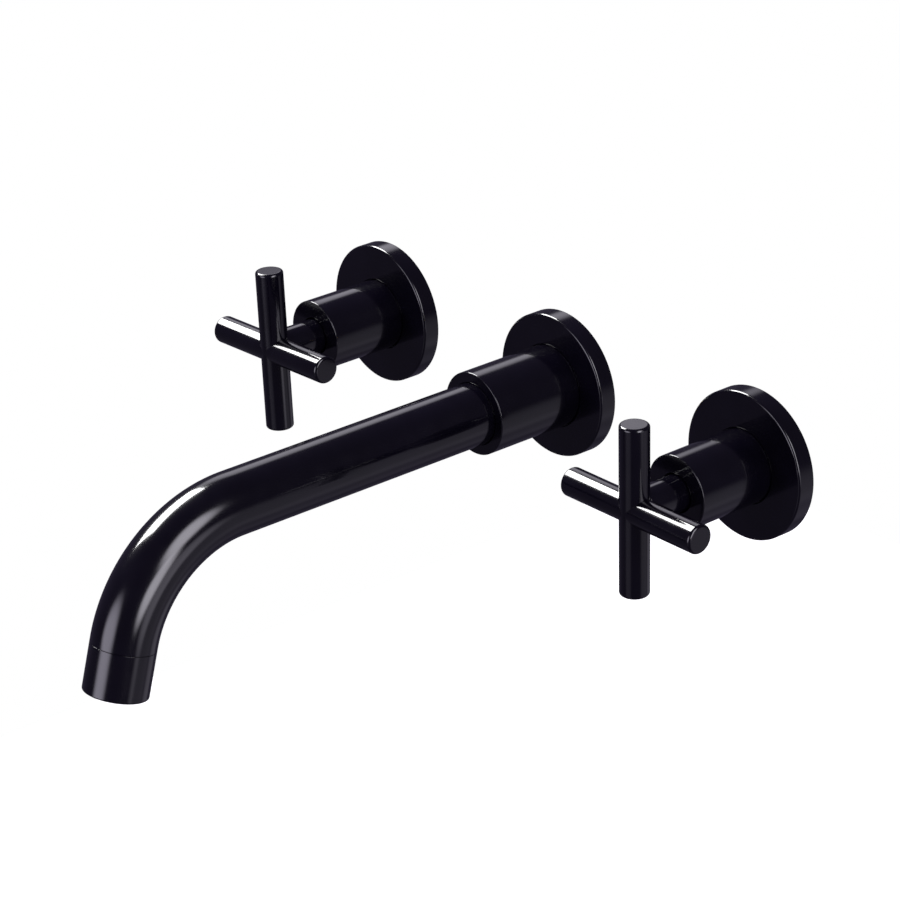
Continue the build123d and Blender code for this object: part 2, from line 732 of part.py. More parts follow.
for name, side, lean in (("hot", 1, HOT_LEAN), ("cold", -1, COLD_LEAN)):
    x = -side * HANDLE_SPACING / 2
    bore = SLEEVE_R + BORE_CLEARANCE
    save(flange(x, bore), f"{name}_flange")
    save(flange_gasket(x, bore), f"{name}_flange_gasket")
    save(o_rings(x, SLEEVE_R + O_RING_R + SLIP, [FLANGE_T / 2]), f"{name}_sleeve_o_ring")
    save(sleeve(x), f"{name}_sleeve")
    save(sleeve_nut(x), f"{name}_sleeve_nut")
    save(headwork_body(x), f"{name}_headwork_body")
    save(ring(x, RELIEF_R + GAP, WASHER_R, THREAD_END, THREAD_END + WASHER_T), f"{name}_headwork_washer")
    save(stem(x, side), f"{name}_stem")
    save(o_rings(x, STEM_GROOVE_R + O_RING_R + RING_PLAY, STEM_GROOVES), f"{name}_stem_o_rings")
    save(stem_clip(x), f"{name}_stem_clip")
    save(moving_disc(x), f"{name}_moving_disc")
    save(fixed_disc(x), f"{name}_fixed_disc")
    save(ring(x, SEAL_BORE_R, SEAL_SEAT_R - SLIP, SEAL_BACK, SEAL_FRONT), f"{name}_seat_seal")
    save(stem_extension(x), f"{name}_stem_extension")
    save(hub(x, lean), f"{name}_hub")
    save(spline_insert(x, lean), f"{name}_spline_insert")
    save(cross_bar(x, lean), f"{name}_cross_bar")
    save(arm(x, lean, -1), f"{name}_arm_left")
    save(arm(x, lean, 1), f"{name}_arm_right")
    save(set_screw(x, lean), f"{name}_set_screw")

spout_bore = COLLAR_R + BORE_CLEARANCE
save(flange(0, spout_bore), "spout_flange")
save(flange_gasket(0, spout_bore), "spout_flange_gasket")
save(o_rings(0, COLLAR_R + O_RING_R + SLIP, [FLANGE_T / 2]), "collar_o_ring")
save(spout_collar(), "spout_collar")
save(o_rings(0, TUBE_R + O_RING_R + SLIP, [COLLAR_RING_S]), "collar_front_o_ring")
save(spout_nipple(), "spout_nipple")
save(ring(0, RELIEF_R + GAP, WASHER_R, THREAD_END, THREAD_END + WASHER_T), "nipple_washer")
save(o_rings(0, SPIGOT_R - O_RING_R + RING_PLAY, SPIGOT_GROOVES), "nipple_o_rings")
save(spout_adapter(), "spout_adapter")
save(spout_set_screw(), "spout_set_screw")
save(spout_tube(), "spout_tube")
save(spout_ferrule(), "spout_ferrule")
save(aerator_housing(), "aerator_housing")
save(aerator_core(), "aerator_core")
save(aerator_screen(), "aerator_screen")
save(aerator_washer(), "aerator_washer")
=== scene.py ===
import json
import logging
from dataclasses import dataclass
from enum import Enum
from math import cos, pi, radians, sin, tan

import bpy
import numpy as np
from mathutils import Matrix, Vector


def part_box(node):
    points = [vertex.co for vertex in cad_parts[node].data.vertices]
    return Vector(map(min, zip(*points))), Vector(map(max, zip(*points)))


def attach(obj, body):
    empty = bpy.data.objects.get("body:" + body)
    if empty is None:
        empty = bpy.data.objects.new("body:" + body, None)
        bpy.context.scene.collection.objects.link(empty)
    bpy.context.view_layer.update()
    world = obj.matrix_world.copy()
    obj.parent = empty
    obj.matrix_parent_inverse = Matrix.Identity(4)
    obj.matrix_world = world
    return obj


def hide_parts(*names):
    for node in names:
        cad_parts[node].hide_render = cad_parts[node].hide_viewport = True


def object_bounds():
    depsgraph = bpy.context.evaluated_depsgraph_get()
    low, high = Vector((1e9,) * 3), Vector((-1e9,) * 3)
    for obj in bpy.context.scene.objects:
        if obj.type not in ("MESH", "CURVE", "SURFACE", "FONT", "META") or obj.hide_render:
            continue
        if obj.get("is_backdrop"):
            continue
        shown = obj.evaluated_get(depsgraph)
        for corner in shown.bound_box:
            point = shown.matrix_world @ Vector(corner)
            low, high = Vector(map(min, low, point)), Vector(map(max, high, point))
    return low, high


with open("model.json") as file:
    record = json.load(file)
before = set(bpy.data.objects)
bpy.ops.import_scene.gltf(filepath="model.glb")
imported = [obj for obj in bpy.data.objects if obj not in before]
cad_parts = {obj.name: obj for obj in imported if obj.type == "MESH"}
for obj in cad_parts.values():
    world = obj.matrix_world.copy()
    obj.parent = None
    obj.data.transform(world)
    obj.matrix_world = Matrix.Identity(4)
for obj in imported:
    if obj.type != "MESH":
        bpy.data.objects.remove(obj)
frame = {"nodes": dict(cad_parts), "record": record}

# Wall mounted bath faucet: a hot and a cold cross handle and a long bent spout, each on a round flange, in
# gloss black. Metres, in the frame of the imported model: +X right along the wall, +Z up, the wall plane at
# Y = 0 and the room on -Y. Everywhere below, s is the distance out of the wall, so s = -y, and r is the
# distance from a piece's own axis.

logging.basicConfig(level=logging.INFO, format="%(message)s")
log = logging.getLogger("faucet")

MM = 0.001
ROUND_STEPS = 8         # straight pieces in a rounded corner
ROUNDNESS = 160         # straight pieces round a turned surface
EDGE = 0.12 * MM        # the round on an edge that has no larger one
DRILL_ROUNDNESS = 48    # straight pieces round a drilled hole
DRILL_SHARP = radians(35)       # an edge of a drilled piece is sharp above this angle
COPY_SHARP = radians(30)        # the same for a piece copied from its node
WELD = 0.002 * MM       # corners of a copied node nearer than this are one
THREAD_ROWS = 14        # rows of points in one pitch of a thread
THREAD_COLUMNS = 96     # points in a row of a thread
TOOTH_GAIN = 1.35       # a thread's wave times this,
TOOTH_CUT = 0.12        # less this, and cut off at 0 and 1, gives its flat crests and roots
RUN_OUT = 0.8           # pitches over which a thread fades at each end
FLANGE_GAP = 0.2 * MM   # from a flange's bore to the piece that passes through it
NECK_GAP = 0.5 * MM     # from a handle sleeve's lip to the handle's neck

NOISE_LOW = 0.3         # a noise seldom leaves the range from here
NOISE_HIGH = 0.7        # to here

Array = np.ndarray
Colour = tuple[float, float, float]
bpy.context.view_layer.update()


class Body(Enum):
    """The moving bodies of the faucet."""

    FIXED = "fixed"
    HOT = "hot_handle"
    COLD = "cold_handle"


class Side(Enum):
    """The two handle stations, with the way each lies from the spout."""

    HOT = -1
    COLD = 1

    @property
    def prefix(self) -> str:
        """First word of the station's node names."""
        return self.name.lower()

    @property
    def body(self) -> Body:
        """The body that turns with this station's handle."""
        return Body[self.name]


# degrees that each cross leans, anticlockwise as seen from the room
LEANS = {Side.HOT: 1.5, Side.COLD: -0.5}


# ---------------------------------------------------------------- surfaces


@dataclass
class Surface:
    """Points with exact normals, and faces of three or four corners."""

    points: Array
    normals: Array
    faces: list[Array]

    def outward(self) -> "Surface":
        """Turn every face over if the faces look against the normals."""
        corners = self.faces[0]
        a, b, c = (self.points[corners[:, k]] for k in range(3))
        facing = np.einsum("ij,ij->i", np.cross(b - a, c - b), self.normals[corners].mean(axis=1))
        if facing.sum() < 0:
            self.faces = [each[:, ::-1] for each in self.faces]
        return self

    def mesh(self, name: str) -> bpy.types.Mesh:
        """Smooth Blender mesh that shades by the exact normals."""
        mesh = bpy.data.meshes.new(name)
        faces = [corners for each in self.faces for corners in each.tolist()]
        mesh.from_pydata(self.points.tolist(), [], faces)
        mesh.shade_smooth()
        mesh.normals_split_custom_set_from_vertices(self.normals.tolist())
        return mesh


def grid(points: Array, normals: Array, closed_rows: bool) -> Surface:
    """Faces between the rows of a grid whose columns run round and meet.

    Args:
        points: rows x columns x 3.
        normals: the same shape.
        closed_rows: join the last row to the first.

    Returns:
        The surface. A face joins (i, j), (i, j + 1), (i + 1, j + 1) and (i + 1, j).
    """
    rows, columns = points.shape[:2]
    index = np.arange(rows * columns).reshape(rows, columns)
    here = index if closed_rows else index[:-1]
    below = np.roll(index, -1, axis=0) if closed_rows else index[1:]
    faces = np.stack(
        [here, np.roll(here, -1, axis=1), np.roll(below, -1, axis=1), below], axis=-1
    ).reshape(-1, 4)
    return Surface(points.reshape(-1, 3), normals.reshape(-1, 3), [faces])


def with_poles(body: Surface, columns: int, tips: Array, tip_normals: Array) -> Surface:
    """Close a grid's first and last rows with a point each.

    Args:
        body: a grid of the given number of columns.
        columns: points in a row.
        tips: the two points, 2 x 3.
        tip_normals: their normals, 2 x 3.

    Returns:
        The closed surface, with a fan of triangles at each end.
    """
    count = len(body.points)
    first = np.arange(columns)
    last = first + count - columns
    start = np.stack([np.full(columns, count), np.roll(first, -1), first], axis=-1)
    end = np.stack([np.full(columns, count + 1), last, np.roll(last, -1)], axis=-1)
    return Surface(
        np.vstack([body.points, tips]), np.vstack([body.normals, tip_normals]), body.faces + [start, end]
    )


@dataclass
class Route:
    """A line of straight runs and one bend in a plane, that a turned outline is carried along.

    A point at (r, angle, t) is the line's point at the length t, plus r times the direction
    cos(angle) * across + sin(angle) * up, with up square to the line and to across.
    """

    origin: Vector
    along: Vector
    across: Vector
    straight: float = 1.0
    bend_radius: float = 0.0
    bend_angle: float = 0.0

    def frames(self, t: Array) -> tuple[Array, Array, Array]:
        """Centre, direction and up at each length t.

        Args:
            t: lengths along the line, which bends away from up after the straight run.

        Returns:
            Three arrays of len(t) x 3.
        """
        along = np.array(self.along)
        up = np.cross(along, np.array(self.across))
        start = np.array(self.origin)
        if not self.bend_radius:
            ones = np.ones((len(t), 1))
            return start + t[:, None] * along, ones * along, ones * up
        turn = np.clip((t - self.straight) / self.bend_radius, 0, self.bend_angle)
        beyond = np.maximum(t - self.straight - self.bend_radius * self.bend_angle, 0)
        ways = np.cos(turn)[:, None] * along - np.sin(turn)[:, None] * up
        ups = np.sin(turn)[:, None] * along + np.cos(turn)[:, None] * up
        centre = (
            start
            + np.minimum(t, self.straight)[:, None] * along
            + self.bend_radius * (np.sin(turn)[:, None] * along - (1 - np.cos(turn))[:, None] * up)
            + beyond[:, None] * ways
        )
        return centre, ways, ups


@dataclass
class Corner:
    """A corner of a turned outline: radius, length along the axis, and the round on it."""

    r: float
    t: float
    round: float = EDGE


def rounded(corners: list[Corner], closed: bool, spacing: float = 0.0) -> tuple[Array, Array]:
    """Outline with every corner turned into an arc that meets both its sides smoothly.

    A corner of round f between directions that turn by phi starts f * tan(phi / 2) before it, and its
    arc's points stand off the arc's centre by f along the turning normal.

    Args:
        corners: anticlockwise in the (r, t) plane, so that the material is on the left.
        closed: whether the last corner joins the first. If not, both ends are on the axis.
        spacing: longest stretch left without a point, or 0 for no limit.

    Returns:
        The (r, t) points and their outward normals.
    """
    points: list[Array] = []
    normals: list[Array] = []
    places = np.array([(corner.r, corner.t) for corner in corners])
    count = len(corners)
    inner = range(count) if closed else range(1, count - 1)
    for k in inner:
        before = places[k] - places[k - 1]
        after = places[(k + 1) % count] - places[k]
        before /= np.linalg.norm(before)
        after /= np.linalg.norm(after)
        turn = np.arctan2(before[0] * after[1] - before[1] * after[0], before @ after)
        setback = corners[k].round * tan(abs(turn) / 2)
        first = np.array([before[1], -before[0]])
        sign = 1.0 if turn > 0 else -1.0
        centre = places[k] - before * setback - sign * corners[k].round * first
        angles = np.linspace(0, turn, ROUND_STEPS + 1)
        ways = np.stack(
            [
                np.cos(angles) * first[0] - np.sin(angles) * first[1],
                np.sin(angles) * first[0] + np.cos(angles) * first[1],
            ],
            axis=-1,
        )
        points.append(centre + sign * corners[k].round * ways)
        normals.append(ways)
    if spacing:
        points, normals = spread(points, normals, closed, spacing)
    return np.vstack(points), np.vstack(normals)


def spread(
    points: list[Array], normals: list[Array], closed: bool, spacing: float
) -> tuple[list[Array], list[Array]]:
    """Add evenly spaced points on the straight stretches between arcs.

    Args:
        points: one array of arc points per corner.
        normals: their normals.
        closed: whether a stretch joins the last arc to the first.
        spacing: longest stretch left without a point.

    Returns:
        The same lists with the stretches between the arcs added.
    """
    new_points: list[Array] = []
    new_normals: list[Array] = []
    for k, arc in enumerate(points):
        new_points.append(arc)
        new_normals.append(normals[k])
        if k + 1 == len(points) and not closed:
            break
        start, end = arc[-1], points[(k + 1) % len(points)][0]
        count = int(np.linalg.norm(end - start) / spacing)
        share = np.linspace(0, 1, count + 2)[1:-1, None]
        new_points.append(start + (end - start) * share)
        new_normals.append(np.repeat(normals[k][-1:], count, axis=0))
    return new_points, new_normals


def turned(
    route: Route, corners: list[Corner], closed: bool = True, spacing: float = 0.0, columns: int = ROUNDNESS
) -> Surface:
    """Carry an outline round a route: a lathe's work on a straight one, a bent tube on a bent one.

    Args:
        route: the axis.
        corners: the outline, as rounded() takes it.
        closed: False if the outline starts and ends on the axis.
        spacing: longest stretch of the outline left without a point.
        columns: straight pieces round the surface.

    Returns:
        The surface, facing out.
    """
    outline, ways = rounded(corners, closed, spacing)
    centre, along, up = route.frames(outline[:, 1])
    angle = np.linspace(0, 2 * pi, columns, endpoint=False)
    across = np.array(route.across)
    radial = (
        np.cos(angle)[None, :, None] * across[None, None, :] + np.sin(angle)[None, :, None] * up[:, None, :]
    )
    points = centre[:, None, :] + outline[:, 0][:, None, None] * radial
    normals = ways[:, 0][:, None, None] * radial + ways[:, 1][:, None, None] * along[:, None, :]
    surface = grid(points, normals, closed)
    if not closed:
        tips = route.frames(np.array([corners[0].t, corners[-1].t]))[0]
        looks = np.stack([along[0] * np.sign(ways[0, 1] or -1), along[-1] * np.sign(ways[-1, 1] or 1)])
        surface = with_poles(surface, columns, tips, looks)
    return surface.outward()


def helix(route: Route, inner: float, outer: float, start: float, end: float, pitch: float) -> Surface:
    """Right-handed pipe thread of rounded teeth, run out at both ends.

    The ridge's outline goes from root to crest and back over one pitch, r = inner + depth * tooth, with
    tooth a cosine wave with its crests and roots cut flat, and it is carried round a helix that climbs one
    pitch a turn. The depth fades to nothing over RUN_OUT pitches at each end.

    Args:
        route: the axis.
        inner: root radius.
        outer: crest radius.
        start: where the thread starts along the axis.
        end: where it ends.
        pitch: climb in a turn.

    Returns:
        An open band from start to end that stands on the root cylinder.
    """
    rows = int((end - start) / pitch * THREAD_ROWS)
    t = np.linspace(start, end, rows)[:, None]
    angle = np.linspace(0, 2 * pi, THREAD_COLUMNS, endpoint=False)[None, :]
    wave = 0.5 + 0.5 * np.cos(2 * pi * (t / pitch) + angle)
    tooth = np.clip(TOOTH_GAIN * wave - TOOTH_CUT, 0, 1)
    fade = np.clip((t - start) / (RUN_OUT * pitch), 0, 1) * np.clip((end - t) / (RUN_OUT * pitch), 0, 1)
    radius = inner + (outer - inner) * tooth * fade
    centre, _, up = route.frames(t[:, 0])
    across = np.array(route.across)
    radial = np.cos(angle)[..., None] * across + np.sin(angle)[..., None] * up[:, None, :]
    points = centre[:, None, :] + radius[..., None] * radial
    around = np.roll(points, -1, axis=1) - np.roll(points, 1, axis=1)
    down = np.gradient(points, axis=0)
    normals = np.cross(around, down)
    normals /= np.linalg.norm(normals, axis=-1, keepdims=True)
    flip = np.sign(np.einsum("ijk,ijk->ij", normals, radial).sum())
    return grid(points, normals * flip, False).outward()


def show(
    surface: Surface, name: str, body: Body, slot: str, finish: "Finish", *nodes: str
) -> bpy.types.Object:
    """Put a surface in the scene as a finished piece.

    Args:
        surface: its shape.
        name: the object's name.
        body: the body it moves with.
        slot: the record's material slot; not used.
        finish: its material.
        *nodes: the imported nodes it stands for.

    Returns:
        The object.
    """
    return show_mesh(surface.mesh(name), name, body, slot, finish, *nodes)


def show_mesh(
    mesh: bpy.types.Mesh, name: str, body: Body, slot: str, finish: "Finish", *nodes: str
) -> bpy.types.Object:
    """Put a mesh in the scene as a finished piece; the arguments are those of show()."""
    piece = bpy.data.objects.new(name, mesh)
    bpy.context.scene.collection.objects.link(piece)
    mesh.materials.clear()
    mesh.materials.append(finish.material())
    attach(piece, body.value)
    if nodes:
        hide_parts(*nodes)
    log.info("%s: %d faces", name, len(mesh.polygons))
    return piece


def drilled(mesh: bpy.types.Mesh, place: Vector, way: Vector, radius: float, depth: float) -> bpy.types.Mesh:
    """The mesh with a round hole cut into it.

    Args:
        mesh: a closed mesh.
        place: the middle of the hole's mouth.
        way: direction out of the hole.
        radius: the hole's radius.
        depth: how far the hole goes in; it also stands out by that much.

    Returns:
        A new mesh, smooth with sharp edges round the hole.
    """
    blank = bpy.data.objects.new("blank", mesh)
    drill_route = Route(place - way * depth, way, way.orthogonal().normalized())
    drill = turned(
        drill_route,
        [Corner(0, 0), Corner(radius, 0), Corner(radius, 2 * depth), Corner(0, 2 * depth)],
        closed=False,
        columns=DRILL_ROUNDNESS,
    )
    bit = bpy.data.objects.new("bit", drill.mesh("bit"))
    for each in (blank, bit):
        bpy.context.scene.collection.objects.link(each)
    cut = blank.modifiers.new("cut", "BOOLEAN")
    cut.object = bit
    cut.operation = "DIFFERENCE"
    cut.solver = "EXACT"
    graph = bpy.context.evaluated_depsgraph_get()
    result = bpy.data.meshes.new_from_object(blank.evaluated_get(graph))
    result.shade_smooth()
    result.set_sharp_from_angle(angle=DRILL_SHARP)
    for each in (blank, bit):
        bpy.data.objects.remove(each)
    return result


# ---------------------------------------------------------------- finishes


@dataclass(frozen=True)
class Finish:
    """A procedural material, made once and then shared. Its noise scales are waves per metre."""

    name: str

    def material(self) -> bpy.types.Material:
        """The Blender material, built at its first use."""
        made = bpy.data.materials.get(self.name)
        if made is None:
            made = bpy.data.materials.new(self.name)
            made.use_nodes = True
            self.dress(Sheet(made))
        return made

    def dress(self, sheet: "Sheet") -> None:
        """Lay out the nodes. Every finish has its own."""
        raise NotImplementedError


class Sheet:
    """The node tree of a material or of the world, with short ways to add what the finishes share."""

    def __init__(self, owner: bpy.types.Material | bpy.types.World) -> None:
        """Start from the nodes that a new material or world has."""
        self.tree = owner.node_tree
        self.shader = self.tree.nodes.get("Principled BSDF")

    def node(self, kind: str, **values: float | tuple | str | bpy.types.NodeSocket) -> bpy.types.Node:
        """Add a node.

        Args:
            kind: Blender's name for it, without the ShaderNode in front.
            **values: inputs by name with _ for a space, as a number, a colour or another node's socket;
                a name that isn't an input is a setting of the node.

        Returns:
            The node.
        """
        made = self.tree.nodes.new("ShaderNode" + kind)
        for key, value in values.items():
            socket = made.inputs.get(key.replace("_", " "))
            if socket is None:
                setattr(made, key, value)
            elif isinstance(value, bpy.types.NodeSocket):
                self.tree.links.new(value, socket)
            else:
                socket.default_value = value
        return made

    def place(self, scale: tuple[float, float, float] = (1, 1, 1)) -> bpy.types.NodeSocket:
        """The point's place on the object in metres, stretched by scale."""
        where = self.node("TexCoord").outputs["Object"]
        return self.node("Mapping", Vector=where, Scale=scale).outputs[0]

    def noise(
        self, scale: float, detail: float = 2.0, stretch: tuple[float, float, float] = (1, 1, 1)
    ) -> bpy.types.NodeSocket:
        """Soft noise of the given scale per metre, about 0.5."""
        return self.node("TexNoise", Vector=self.place(stretch), Scale=scale, Detail=detail).outputs[0]

    def spread(self, value: bpy.types.NodeSocket, low: float, high: float) -> bpy.types.NodeSocket:
        """Carry a noise's usual range over to low to high."""
        return self.node(
            "MapRange", Value=value, From_Min=NOISE_LOW, From_Max=NOISE_HIGH, To_Min=low, To_Max=high
        ).outputs[0]

    def colours(self, value: bpy.types.NodeSocket, first: Colour, last: Colour) -> bpy.types.NodeSocket:
        """Blend of two colours by a noise."""
        ramp = self.node("ValToRGB", Fac=value)
        ramp.color_ramp.elements[0].position = NOISE_LOW
        ramp.color_ramp.elements[0].color = (*first, 1)
        ramp.color_ramp.elements[1].position = NOISE_HIGH
        ramp.color_ramp.elements[1].color = (*last, 1)
        return ramp.outputs[0]

    def set(self, **values: float | tuple | bpy.types.NodeSocket) -> None:
        """Set or link the shader's inputs, with _ for a space."""
        for key, value in values.items():
            socket = self.shader.inputs[key.replace("_", " ")]
            if isinstance(value, bpy.types.NodeSocket):
                self.tree.links.new(value, socket)
            else:
                socket.default_value = value

    def relief(self, height: bpy.types.NodeSocket, depth: float, strength: float = 1.0) -> None:
        """Bump the surface by a height, of that depth in metres, over any relief it already has."""
        bump = self.node("Bump", Height=height, Distance=depth, Strength=strength)
        old = self.shader.inputs["Normal"]
        if old.is_linked:
            self.tree.links.new(old.links[0].from_socket, bump.inputs["Normal"])
        self.tree.links.new(bump.outputs[0], old)


@dataclass(frozen=True)
class GlossBlack(Finish):
    """Black lacquer over brass: deep, slightly violet, with the faint orange peel of a sprayed coat."""

    deep: Colour = (0.0014, 0.0010, 0.0034)
    lifted: Colour = (0.0026, 0.0019, 0.0058)
    smooth: float = 0.13
    hazy: float = 0.19
    coat: float = 0.6
    coat_roughness: float = 0.06
    peel_scale: float = 950.0
    peel_depth: float = 0.0006 * MM
    cloud_scale: float = 45.0
    haze_scale: float = 90.0
    wave_scale: float = 150.0

    def dress(self, sheet: Sheet) -> None:
        """Cloudy colour, hazier patches in the gloss, orange peel and a longer, deeper wave."""
        cloud = sheet.noise(self.cloud_scale, detail=3.0)
        sheet.set(Base_Color=sheet.colours(cloud, self.deep, self.lifted))
        sheet.set(Roughness=sheet.spread(sheet.noise(self.haze_scale, detail=4.0), self.smooth, self.hazy))
        sheet.set(Specular_IOR_Level=0.5, Coat_Weight=self.coat, Coat_Roughness=self.coat_roughness)
        sheet.relief(sheet.noise(self.peel_scale, detail=2.0), self.peel_depth)
        sheet.relief(sheet.noise(self.wave_scale, detail=1.0), 2 * self.peel_depth)


@dataclass(frozen=True)
class TurnedMetal(Finish):
    """Metal off the lathe: rings square to the station's axis over a slightly tarnished colour."""

    bright: Colour = (0.72, 0.53, 0.24)
    dull: Colour = (0.52, 0.36, 0.15)
    smooth: float = 0.22
    rough: float = 0.38
    ring_depth: float = 0.004 * MM
    ring_scale: tuple[float, float, float] = (60.0, 5200.0, 60.0)
    stain_scale: float = 140.0
    wear_scale: float = 400.0

    def dress(self, sheet: Sheet) -> None:
        """Tool rings that vary along Y, with stains in the colour."""
        rings = sheet.noise(1.0, detail=3.0, stretch=self.ring_scale)
        stains = sheet.noise(self.stain_scale, detail=4.0)
        sheet.set(Base_Color=sheet.colours(stains, self.dull, self.bright), Metallic=1.0)
        sheet.set(Roughness=sheet.spread(sheet.noise(self.wear_scale, detail=3.0), self.smooth, self.rough))
        sheet.relief(rings, self.ring_depth)


@dataclass(frozen=True)
class Moulded(Finish):
    """Moulded rubber or plastic with a fine sparked grain."""

    dark: Colour = (0.014, 0.014, 0.015)
    light: Colour = (0.026, 0.026, 0.028)
    smooth: float = 0.45
    rough: float = 0.65
    grain_scale: float = 2600.0
    grain_depth: float = 0.01 * MM
    cloud_scale: float = 220.0
    wear_scale: float = 700.0

    def dress(self, sheet: Sheet) -> None:
        """Cloudy colour and an even grain."""
        sheet.set(Base_Color=sheet.colours(sheet.noise(self.cloud_scale, detail=3.0), self.dark, self.light))
        sheet.set(Roughness=sheet.spread(sheet.noise(self.wear_scale, detail=2.0), self.smooth, self.rough))
        sheet.relief(sheet.noise(self.grain_scale, detail=2.0), self.grain_depth)


@dataclass(frozen=True)
class Foam(Finish):
    """Closed-cell foam cut from sheet: open half cells all over the cut face."""

    dark: Colour = (0.020, 0.020, 0.022)
    light: Colour = (0.075, 0.075, 0.080)
    cell_scale: float = 1500.0
    cell_depth: float = 0.18 * MM
    dullness: float = 0.92

    def dress(self, sheet: Sheet) -> None:
        """Round cells from a Voronoi pattern, with painted shade darkening their hollows."""
        cells = sheet.node("TexVoronoi", Vector=sheet.place(), Scale=self.cell_scale).outputs["Distance"]
        # painted shade: the colour runs from dark in each cell's hollow to light at its rim, following the
        # bump's depth
        sheet.set(Base_Color=sheet.colours(cells, self.dark, self.light), Roughness=self.dullness)
        sheet.relief(cells, self.cell_depth)


@dataclass(frozen=True)
class PressedFibre(Finish):
    """Red sealing fibre, pressed from felted sheet."""

    dark: Colour = (0.24, 0.045, 0.025)
    light: Colour = (0.46, 0.12, 0.07)
    smooth: float = 0.7
    rough: float = 0.9
    strand_scale: float = 900.0
    strand_stretch: tuple[float, float, float] = (1.0, 1.0, 4.0)
    strand_depth: float = 0.05 * MM

    def dress(self, sheet: Sheet) -> None:
        """Short strands in the face."""
        strands = sheet.noise(self.strand_scale, detail=5.0, stretch=self.strand_stretch)
        sheet.set(Base_Color=sheet.colours(strands, self.dark, self.light))
        sheet.set(Roughness=sheet.spread(strands, self.smooth, self.rough))
        sheet.relief(strands, self.strand_depth)


@dataclass(frozen=True)
class Lapped(Finish):
    """Alumina disc: fine off-white, lapped to a dull mirror, with a faint grain."""

    dark: Colour = (0.78, 0.76, 0.71)
    light: Colour = (0.90, 0.89, 0.86)
    smooth: float = 0.16
    rough: float = 0.28
    speckle_scale: float = 3200.0
    speckle_depth: float = 0.002 * MM
    wear_scale: float = 500.0

    def dress(self, sheet: Sheet) -> None:
        """Speckled colour and an almost smooth surface."""
        speckle = sheet.noise(self.speckle_scale, detail=4.0)
        sheet.set(Base_Color=sheet.colours(speckle, self.dark, self.light))
        sheet.set(Roughness=sheet.spread(sheet.noise(self.wear_scale), self.smooth, self.rough))
        sheet.relief(speckle, self.speckle_depth)


BLACK = GlossBlack("gloss_black_lacquer")
BRASS = TurnedMetal("turned_brass")
STEEL = TurnedMetal("stainless_steel", (0.62, 0.61, 0.60), (0.45, 0.45, 0.45), 0.2, 0.34)
RUBBER = Moulded("nitrile_rubber")
NYLON = Moulded("natural_nylon", (0.62, 0.60, 0.53), (0.76, 0.74, 0.68), 0.35, 0.5)
ACETAL = Moulded("grey_acetal", (0.30, 0.30, 0.31), (0.42, 0.42, 0.43), 0.3, 0.45)
FOAM = Foam("closed_cell_foam")
FIBRE = PressedFibre("pressed_fibre")
CERAMIC = Lapped("lapped_alumina")

SLOT_FINISHES: dict[str, Finish] = {
    "black_finish": BLACK,
    "brass": BRASS,
    "steel": STEEL,
    "rubber": RUBBER,
    "nylon": NYLON,
    "acetal": ACETAL,
    "foam": FOAM,
    "fibre": FIBRE,
    "ceramic": CERAMIC,
}


# ---------------------------------------------------------------- pieces


def out_of_wall(x: float) -> Route:
    """A station's axis, from the wall plane straight into the room."""
    return Route(Vector((x, 0, 0)), Vector((0, -1, 0)), Vector((1, 0, 0)))


def reach(node: str) -> tuple[float, float, float, float]:
    """Where a turned node of a station lies.

    Args:
        node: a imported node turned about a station's axis.

    Returns:
        The axis's x, the radius, and the back and front as distances out of the wall.
    """
    low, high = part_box(node)
    return (low.x + high.x) / 2, (high.x - low.x) / 2, -high.y, -low.y


@dataclass
class Flange:
    """Round cover disc on the wall, dished behind for its foam gasket."""

    node: str
    rim: float = 2.4 * MM
    recess: float = 3.5 * MM
    boss: float = 2.7 * MM
    boss_back: float = 0.8 * MM
    front_round: float = 0.9 * MM
    back_round: float = 0.3 * MM
    bore_round: float = 0.35 * MM

    def build(self, bore: float) -> None:
        """Turn the disc.

        Args:
            bore: radius of its hole.
        """
        x, radius, back, front = reach(self.node)
        boss = bore + self.boss
        rim = radius - self.rim
        outline = [
            Corner(bore, self.boss_back, self.bore_round),
            Corner(boss, self.boss_back, self.bore_round),
            Corner(boss, self.recess),
            Corner(rim, self.recess),
            Corner(rim, back, self.back_round),
            Corner(radius, back, self.back_round),
            Corner(radius, front, self.front_round),
            Corner(bore, front, self.bore_round),
        ]
        surface = turned(out_of_wall(x), outline, columns=2 * ROUNDNESS)
        show(surface, self.node + "_disc", Body.FIXED, "black_finish", BLACK, self.node)


@dataclass
class Sleeve:
    """Plain cylinder between a flange and a handle, or over the spout's foot.

    Its hole is given as the distance of the hole's middle out of the wall, and the hole's radius.
    """

    node: str
    lip_bore: float
    wall: float = 1.5 * MM
    lip: float = 2.5 * MM
    front_round: float = 0.35 * MM
    hole: tuple[float, float] | None = None

    def build(self) -> None:
        """Turn the cylinder, and drill its key hole underneath if it has one."""
        x, radius, back, front = reach(self.node)
        inner = radius - self.wall
        outline = [
            Corner(inner, back),
            Corner(radius, back),
            Corner(radius, front, self.front_round),
            Corner(self.lip_bore, front, self.front_round),
            Corner(self.lip_bore, front - self.lip),
            Corner(inner, front - self.lip),
        ]
        mesh = turned(out_of_wall(x), outline).mesh(self.node + "_shell")
        if self.hole:
            out, size = self.hole
            place = Vector((x, -out, -radius))
            mesh = drilled(mesh, place, Vector((0, 0, -1)), size, 2 * self.wall)
            mesh.name = self.node + "_shell"
        show_mesh(mesh, self.node + "_shell", Body.FIXED, "black_finish", BLACK, self.node)


